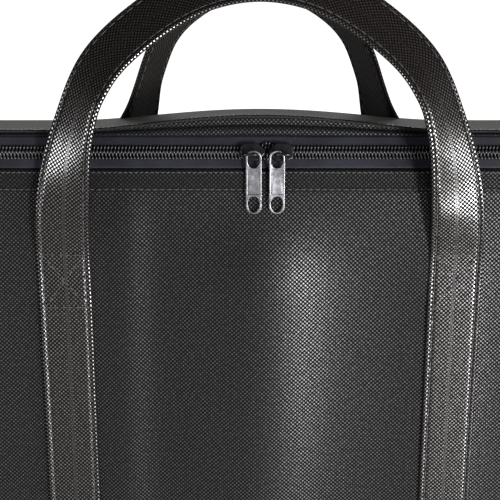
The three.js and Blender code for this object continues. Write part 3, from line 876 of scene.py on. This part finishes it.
STRAP_HALF_WIDTH = 12.3
STRAP_HALF_THICKNESS = 1.0
STITCH_INSET = 2.6
STITCH_TOP = 468.0
BOX_HEIGHT = 26.0
FRONT_TILT, BACK_TILT = math.radians(46), math.radians(64)
STRAP_VALLEY = (0.0005, 0.0003, 0.00025, 1)
STRAP_DOT = (0.0042, 0.0028, 0.0023, 1)

strap_cloth = dotted_cloth("strap_cloth", STRAP_VALLEY, STRAP_DOT, gloss=0.8)
back_strap_cloth = dotted_cloth("back_strap_cloth", STRAP_VALLEY, STRAP_DOT, gloss=0.12)


def strap_section():
    """Across a strap: rolled edges, and a groove where each row of stitching pulls the cloth down."""
    reach = np.concatenate([np.linspace(0, 8.2, 7), np.linspace(8.9, STRAP_HALF_WIDTH - 1.0, 8)])
    turn = np.linspace(0, math.pi / 2, 5)[1:]
    groove = 0.38 * np.exp(-(((reach - STRAP_HALF_WIDTH + STITCH_INSET) / 0.5) ** 2))
    roll = 0.14 * smooth_step(reach, 10.0, 11.2)
    height = STRAP_HALF_THICKNESS + roll - groove
    edge = height[-1] * np.cos(turn)
    side = STRAP_HALF_WIDTH - 1.0 + 1.0 * np.sin(turn)
    half = np.stack([np.concatenate([reach, side]), np.concatenate([height, edge])], 1)
    back = half[::-1][1:] * (1, -1)
    right = np.concatenate([half, back])
    left = right[::-1][1:-1] * (-1, 1)
    return np.concatenate([right, left])


def smooth_line(points, step=2.0):
    """A smooth line through points, even along its length."""
    points = np.asarray(points, float)
    padded = np.concatenate([2 * points[:1] - points[1:2], points, 2 * points[-1:] - points[-2:-1]])
    share = np.linspace(0, 1, 24, endpoint=False)[:, None]
    out = []
    for a, b, c, d in zip(padded, padded[1:], padded[2:], padded[3:]):
        bend, twist = 2 * a - 5 * b + 4 * c - d, 3 * b - a - 3 * c + d
        out.append(0.5 * (2 * b + (c - a) * share + bend * share**2 + twist * share**3))
    line = np.concatenate([*out, points[-1:]])
    s = np.concatenate([[0], np.cumsum(np.linalg.norm(np.diff(line, axis=0), axis=1))])
    even = np.linspace(0, s[-1], int(s[-1] / step) + 1)
    return np.stack([np.interp(even, s, line[:, i]) for i in range(3)], 1)


def strap_frames(leg, x_foot, facing, face_y, arch_tilt):
    """Frames up the left leg, over the arch and down the right leg. The strap's face tilts on the arch."""
    z = np.arange(SEAM_Z + 2, STITCH_TOP - 22, 6.0)
    foot = np.stack([-x_foot + 0 * z, face_y(-x_foot + 0 * z, z), z], 1)
    mirrored = np.asarray(leg[:-1][::-1], float) * (-1, 1, 1)
    foot_right = np.stack([x_foot + 0 * z, face_y(x_foot + 0 * z, z), z], 1)[::-1]
    at = smooth_line(np.concatenate([foot, np.asarray(leg, float), mirrored, foot_right]))
    run = unit(np.gradient(at, axis=0))
    flat = unit(np.stack([-run[:, 2], 0 * run[:, 0], run[:, 0]], 1))
    up = at[:, 2] - STITCH_TOP
    tilt = arch_tilt * smooth_step(up, 6, 0.62 * (leg[-1][2] - STITCH_TOP))
    across = flat * np.cos(tilt)[:, None] + np.array([[0, -facing, 0]]) * np.sin(tilt)[:, None]
    return along_line(at, across)


def front_strap_y(x, z):
    return FRONT_Y - front_swell(x, z) - STRAP_HALF_THICKNESS + 0.1


def back_strap_y(x, z):
    return BACK_Y + back_swell(x, z) + STRAP_HALF_THICKNESS - 0.1


def box_stitches(name, frames, s_top, direction, face):
    """A box of stitches crossed by its two diagonals, from the top of the sewn strap downwards."""
    half = STRAP_HALF_WIDTH - STITCH_INSET
    corners = [(0, -half), (0, half), (BOX_HEIGHT, half), (BOX_HEIGHT, -half)]
    lines = [(corners[i], corners[(i + 1) % 4]) for i in range(4)]
    lines += [(corners[0], corners[2]), (corners[1], corners[3])]
    places, turns = [], []
    for (a_run, a_across), (b_run, b_across) in lines:
        length = math.hypot(b_run - a_run, b_across - a_across)
        count = max(4, round(length / 3.1))
        share = (np.arange(count) + 0.5) / count
        s = s_top + direction * (a_run + share * (b_run - a_run))
        across = a_across + share * (b_across - a_across)
        spots, _ = places_on(frames, s, across, face * (STRAP_HALF_THICKNESS + 0.1))
        step = direction * 0.01 * (b_run - a_run)
        ahead, _ = places_on(frames, s + step, across + 0.01 * (b_across - a_across), 0)
        here, _ = places_on(frames, s, across, 0)
        for spot, heading in zip(spots, unit(ahead - here)):
            normal = np.interp(s_top, frames["s"], frames["out"][:, 1])
            outward = np.array([0.0, np.sign(normal) * face, 0.0])
            side = np.cross(outward, heading)
            turns.append(list(Matrix(np.stack([heading, unit(side), outward], 1).tolist()).to_euler()))
            places.append(spot)
    shape = stitch_shape(2.5)
    made = repeat(name, shape, np.array(places), np.array(turns), thread)
    bpy.data.objects.remove(shape, do_unlink=True)
    return made


def strap(side_name, frames, face, material):
    """The whole strap with its edge stitches and crossed boxes, bending where it leaves the panel."""
    name = f"{side_name}_strap"
    ribbon = sweep(name, frames, strap_section(), material)
    length = frames["s"][-1]
    inset = STRAP_HALF_WIDTH - STITCH_INSET
    stitches = []
    for across in (-inset, inset):
        for side in (-1, 1):
            out = side * (STRAP_HALF_THICKNESS - 0.12)
            stitches.append(sewn(f"{name}_row", frames, 1, length - 1, 4.8, across, out, 3.9))
    half = len(frames["s"]) // 2
    left = np.interp(STITCH_TOP, frames["at"][:half, 2], frames["s"][:half])
    stitches.append(box_stitches(f"{name}_box", frames, left, -1, face))
    stitches.append(box_stitches(f"{name}_box", frames, length - left, 1, face))
    thread_piece = joined(f"{name}_stitches", stitches)
    for piece in (ribbon, thread_piece):
        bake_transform(piece)
    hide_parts(f"{name}_left", f"{name}_right", f"{side_name}_handle")


FRONT_LEG = (
    (-90.2, -26.6, 456),
    (-90.3, -26.8, 468),
    (-89.8, -29.6, 481),
    (-89, -31.8, 492),
    (-86.8, -33, 510),
    (-83, -31.6, 528),
    (-76.8, -28, 545.5),
    (-66.3, -21.5, 560.5),
    (-46, -15, 576.5),
    (-24, -12.6, 587.5),
    (0, -12, 591.5),
)
BACK_LEG = (
    (-70, 26.4, 456),
    (-70, 26.8, 468),
    (-68.5, 29, 482),
    (-63.5, 31, 502),
    (-57.2, 30, 521),
    (-52.8, 28, 536.5),
    (-45.2, 24, 556),
    (-34, 21.5, 569),
    (-18, 20, 578.5),
    (0, 20, 581.5),
)

front_frames = strap_frames(FRONT_LEG, 90, -1, front_strap_y, FRONT_TILT)
strap("front", front_frames, 1, strap_cloth)
back_frames = strap_frames(BACK_LEG, 70, 1, back_strap_y, BACK_TILT)
strap("back", back_frames, -1, back_strap_cloth)


# Cover hinge cloth.
# The front panel's lower edge is sewn to the base's front edge. This doubled strip covers the seam.

HINGE_INSET = 4
HINGE_BELOW, HINGE_ABOVE = 4.5, 6.5

hinge_x = np.linspace(panel_low[0] + HINGE_INSET, panel_high[0] - HINGE_INSET, 80)
hinge_z = np.linspace(SEAM_Z - HINGE_BELOW, SEAM_Z + HINGE_ABOVE, 23)
grid_x, grid_z = np.meshgrid(hinge_x, hinge_z, indexing="ij")
bead_out = 0.45 + 0.55 * np.exp(-(((grid_z - SEAM_Z) / 1.3) ** 2))
hinge_out = np.stack([grid_x, FRONT_Y - bead_out, grid_z], 2)
hinge_in = np.stack([grid_x, FRONT_Y + 0.5 + 0 * grid_x, grid_z], 2)
hinge = shell("hinge_cloth", hinge_out, hinge_in, np.stack([grid_x, grid_z], 2), panel_cloth)
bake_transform(hinge)


# Sliders.
# Two cast sliders in black enamel, head to head. Each has a pointed body with turned-down flanges over
# the coil, and a bridge that the pull's eye runs round.

SLIDER_SPACING = 12.6
SLIDER_LENGTH = 11.0
SLIDER_WIDTH = 8.2
BODY_LOW, BODY_HIGH = 1.75, 3.2
BRIDGE_LOW = 2.1
BRIDGE_ARCH = (
    # along the zip, height
    (-4.0, 2.8),
    (-4.1, 4.8),
    (-3.85, 6.8),
    (-3.0, 7.65),
    (-1.0, 7.8),
    (0.9, 7.65),
    (1.8, 6.8),
    (2.1, 4.8),
    (2.05, 2.8),
)
ENAMEL_DARK, ENAMEL_LIGHT = (0.0008, 0.0008, 0.001, 1), (0.003, 0.003, 0.0034, 1)


def enamel_material():
    material, shader, _, space = blank_material("black_enamel", roughness=0.3, specular=0.06)
    wear = space.noise(700.0, 3.0)
    wear.mix(ENAMEL_DARK, ENAMEL_LIGHT).into(shader, "Base Color")
    wear.between(0.3, 0.7).bump(0.06, 0.0001).into(shader, "Normal")
    shader.inputs["Coat Weight"].default_value = 0.06
    shader.inputs["Coat Roughness"].default_value = 0.15
    return material


black_enamel = enamel_material()


def plate(name, outline, low, high, bevel, material, holes=()):
    """A flat plate with rounded rims from an outline in millimetres, as a plain mesh."""
    curve = bpy.data.curves.new(name, "CURVE")
    curve.dimensions = "2D"
    curve.fill_mode = "BOTH"
    for loop in (outline, *holes):
        spline = curve.splines.new("POLY")
        spline.points.add(len(loop) - 1)
        for point, (x, y) in zip(spline.points, loop):
            point.co = (x, y, 0, 1)
        spline.use_cyclic_u = True
    curve.extrude = (high - low) / 2 - bevel
    curve.bevel_depth = bevel
    curve.bevel_resolution = 3
    curve.offset = -bevel
    holder = bpy.data.objects.new(name, curve)
    bpy.context.collection.objects.link(holder)
    graph = bpy.context.evaluated_depsgraph_get()
    mesh = bpy.data.meshes.new_from_object(holder.evaluated_get(graph), depsgraph=graph)
    bpy.data.objects.remove(holder, do_unlink=True)
    mesh.transform(Matrix.Translation((0, 0, (low + high) / 2)))
    work = bmesh.new()
    work.from_mesh(mesh)
    bmesh.ops.remove_doubles(work, verts=work.verts, dist=1e-4)
    bmesh.ops.recalc_face_normals(work, faces=work.faces)
    work.to_mesh(mesh)
    work.free()
    mesh.materials.clear()
    mesh.materials.append(material)
    mesh.shade_smooth()
    mesh.set_sharp_from_angle(angle=math.radians(40))
    piece = bpy.data.objects.new(name, mesh)
    bpy.context.collection.objects.link(piece)
    return piece


def curve_through(points, count=8):
    """An outline through (x, y, radius) corners, each corner an arc of that radius."""
    line = []
    total = len(points)
    for i, (x, y, radius) in enumerate(points):
        here = np.array([x, y], float)
        before = unit(np.array(points[i - 1][:2]) - here)
        after = unit(np.array(points[(i + 1) % total][:2]) - here)
        if radius <= 0:
            line.append(here)
            continue
        opening = math.acos(float(np.clip(before @ after, -1, 1)))
        reach = radius / math.tan(opening / 2)
        start, end = here + before * reach, here + after * reach
        centre = here + unit(before + after) * radius / math.sin(opening / 2)
        first = math.atan2(*(start - centre)[::-1])
        swing = math.atan2(*(end - centre)[::-1]) - first
        swing = (swing + math.pi) % (2 * math.pi) - math.pi
        angle = first + swing * np.arange(count + 1) / count
        line += list(centre + radius * np.stack([np.cos(angle), np.sin(angle)], 1))
    return np.array(line)


def box_outline(left, right, first, last, radius, count):
    """A box with round corners, from the edge at y = first to the edge at y = last."""
    corners = [(left, first), (right, first), (right, last), (left, last)]
    return curve_through([(x, y, radius) for x, y in corners], count)


def slider_body(name, side):
    """One slider in its own frame: x along the zip to its head, y across it and z out of it."""
    end, half = SLIDER_LENGTH / 2, SLIDER_WIDTH / 2
    tail, shoulder = -end + 2.0, end - 3.6
    edge = [(-end, -half + 1.2, 1.0), (tail, -half + 0.3, 1.5), (shoulder, -half, 1.2), (end, -0.9, 0.6)]
    other_edge = [(x, -y, radius) for x, y, radius in edge[::-1]]
    top = curve_through(edge + other_edge, 5)
    parts = [plate("top", top, BODY_LOW, BODY_HIGH, 0.5, black_enamel)]
    parts.append(plate("under", top * 0.94, -2.2, -1.1, 0.3, black_enamel))
    neck = box_outline(2.2, 4.2, -0.7, 0.7, 0.4, 3)
    parts.append(plate("neck", neck, -1.3, BODY_LOW + 0.3, 0.1, black_enamel))
    for middle in (0.45 - half, half - 0.45):
        flange = box_outline(-3.6, 2.4, middle - 0.35, middle + 0.35, 0.2, 3)
        parts.append(plate("flange", flange, 0.2, BODY_LOW + 0.3, 0.12, black_enamel))
    line = smooth_line([(along, side * BRIDGE_LOW, height) for along, height in BRIDGE_ARCH], 0.35)
    frames = along_line(line, np.tile([[0, 1.0, 0]], (len(line), 1)))
    angle = np.radians(np.arange(0, 360, 30))
    ring = np.stack([0.62 * np.cos(angle), 0.52 * np.sin(angle)], 1)
    bridge = sweep("bridge", frames, ring, black_enamel)
    bridge.data.transform(Matrix.Scale(1 / MM, 4))
    return joined(name, [*parts, bridge])


def place_slider(label, side):
    piece = slider_body(f"slider_{label}_cast", side)
    turn = Matrix.Rotation(math.pi, 4, "Z") if side > 0 else Matrix.Identity(4)
    lean = Matrix.Rotation(ZIP_LEAN, 4, "X")
    at = Matrix.Translation((SLIDER_X + side * SLIDER_SPACING / 2, ZIP_CENTRE, 0))
    stand = Matrix.Translation((0, FRONT_Y, FRONT_TOP))
    piece.data.transform(Matrix.Scale(MM, 4) @ stand @ lean @ at @ turn)
    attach(piece, f"slider_{label}")
    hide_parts(f"{label}_slider")


place_slider("left", -1)
place_slider("right", 1)


# Pulls.
# Satin gunmetal tongues with rounded rims, cast in one piece. Each has an eye at the top round the
# slider's bridge, a sunk panel, and a tall hole near the foot.

PULL_MIDDLE = 2.35
PULL_SPACING = 10.4
PULL_WIDTH = 7.0
PULL_LENGTH = 29.8
PULL_TOP = 9.4
PULL_BACK_Y = -26.9
PULL_YAW = {-1: math.radians(-5), 1: math.radians(0.5)}
EYE_HALF_WIDTH = 2.75
EYE_TOP, EYE_FOOT = -0.8, -8.2
RECESS_HALF_WIDTH = 2.8
RECESS_TOP, RECESS_FOOT = -8.9, -20.6
HOLE_HALF_WIDTH, HOLE_HALF_HEIGHT = 2.85, 3.85
HOLE_CENTRE = -25.2
GUNMETAL_DARK, GUNMETAL_LIGHT = (0.045, 0.045, 0.05, 1), (0.12, 0.12, 0.127, 1)


def gunmetal_material():
    material, shader, _, space = blank_material("gunmetal", roughness=0.34, metallic=1.0)
    brushed = space.noise(420.0, 4.0)
    cloud = space.noise(120.0, 2.0)
    tone = (brushed * 0.4 + cloud * 0.6).between(0.25, 0.75)
    tone.mix(GUNMETAL_DARK, GUNMETAL_LIGHT).into(shader, "Base Color")
    (brushed * 0.18 + 0.24).into(shader, "Roughness")
    brushed.bump(0.05, 0.0001).into(shader, "Normal")
    return material


gunmetal = gunmetal_material()


def pull_tongue(name):
    """One pull, its face towards +Z and its top at y = 0."""
    half = PULL_WIDTH / 2
    top, foot = half - 0.05, half - 0.02
    corners = [(-half, 0, top), (half, 0, top), (half, -PULL_LENGTH, foot), (-half, -PULL_LENGTH, foot)]
    outline = curve_through(corners, 10)
    eye = box_outline(-EYE_HALF_WIDTH, EYE_HALF_WIDTH, EYE_TOP, EYE_FOOT, EYE_HALF_WIDTH - 0.05, 9)[::-1]
    turn = np.linspace(0, 2 * math.pi, 28, endpoint=False)
    hole = np.stack([HOLE_HALF_WIDTH * np.cos(turn), HOLE_CENTRE + HOLE_HALF_HEIGHT * np.sin(turn)], 1)[::-1]
    recess = box_outline(-RECESS_HALF_WIDTH, RECESS_HALF_WIDTH, RECESS_TOP, RECESS_FOOT, 0.4, 5)[::-1]
    back = plate("tongue", outline, 0.0, 0.8, 0.18, gunmetal, (eye, hole))
    rim = plate("rim", outline, 0.6, 1.1, 0.16, gunmetal, (eye, hole, recess))
    return joined(name, [back, rim])


def place_pull(label, side):
    piece = pull_tongue(f"pull_{label}_tongue")
    stand = Matrix.Rotation(PULL_YAW[side], 4, "Z") @ Matrix.Rotation(math.pi / 2, 4, "X")
    at = Matrix.Translation((PULL_MIDDLE + side * PULL_SPACING / 2, PULL_BACK_Y, FRONT_TOP + PULL_TOP))
    piece.data.transform(Matrix.Scale(MM, 4) @ at @ stand)
    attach(piece, f"pull_{label}")
    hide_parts(f"{label}_pull")


place_pull("left", -1)
place_pull("right", 1)


# Studio.
# A plain white floor, soft lamps in front and one low strip lamp that runs a streak of light down the
# panel. The camera is close to the handles and a little above them.

CAMERA_DISTANCE = 0.660
CAMERA_PITCH = math.radians(20)
LENS_MM = 103.3
LOOK_AT = Vector((-0.0046, -0.025, 0.4692))


def floor_material():
    material, shader, _, space = blank_material("floor", roughness=0.9, specular=0.2)
    space.noise(2.0, 1.0).mix((0.26, 0.26, 0.26, 1), (0.3, 0.3, 0.3, 1)).into(shader, "Base Color")
    shader.inputs["Emission Color"].default_value = (1, 1, 1, 1)
    shader.inputs["Emission Strength"].default_value = 0.98
    return material


floor_mesh = bpy.data.meshes.new("floor")
floor_mesh.from_pydata([(-20, -20, 0), (20, -20, 0), (20, 20, 0), (-20, 20, 0)], [], [(0, 1, 2, 3)])
floor_mesh.materials.append(floor_material())
floor = bpy.data.objects.new("floor", floor_mesh)
bpy.context.collection.objects.link(floor)

world = bpy.data.worlds.new("studio")
world.use_nodes = True
world.node_tree.nodes["Background"].inputs["Color"].default_value = (1, 1, 1, 1)
world.node_tree.nodes["Background"].inputs["Strength"].default_value = 0.12
bpy.context.scene.world = world


def lamp(name, place, target, size, power):
    data = bpy.data.lights.new(name, "AREA")
    data.shape = "RECTANGLE"
    data.size, data.size_y = size
    data.energy = power
    made = bpy.data.objects.new(name, data)
    made.location = place
    made.rotation_euler = (Vector(target) - Vector(place)).to_track_quat("-Z", "Y").to_euler()
    made.visible_camera = False
    bpy.context.collection.objects.link(made)


lamp("key", (1.1, -1.85, 0.32), (0, 0, 0.4), (0.45, 0.6), 280)
lamp("strip", (0.42, -0.62, 0.13), (0.02, 0, 0.4), (0.14, 0.22), 11.5)
lamp("right", (1.9, -1.15, 0.7), (0, 0, 0.5), (1.0, 1.0), 190)
lamp("left", (-1.9, -1.15, 0.7), (0, 0, 0.5), (1.0, 1.0), 150)
lamp("back", (0, 1.9, 1.1), (0, 0, 0.5), (1.6, 0.4), 46)

camera_data = bpy.data.cameras.new("camera")
camera_data.lens = LENS_MM
camera_data.clip_start = 0.05
camera = bpy.data.objects.new("camera", camera_data)
camera.location = LOOK_AT + Vector((0, -math.cos(CAMERA_PITCH), math.sin(CAMERA_PITCH))) * CAMERA_DISTANCE
camera.rotation_euler = (math.pi / 2 - CAMERA_PITCH, 0, 0)
bpy.context.collection.objects.link(camera)
bpy.context.scene.camera = camera
bpy.context.scene.view_settings.view_transform = "Standard"
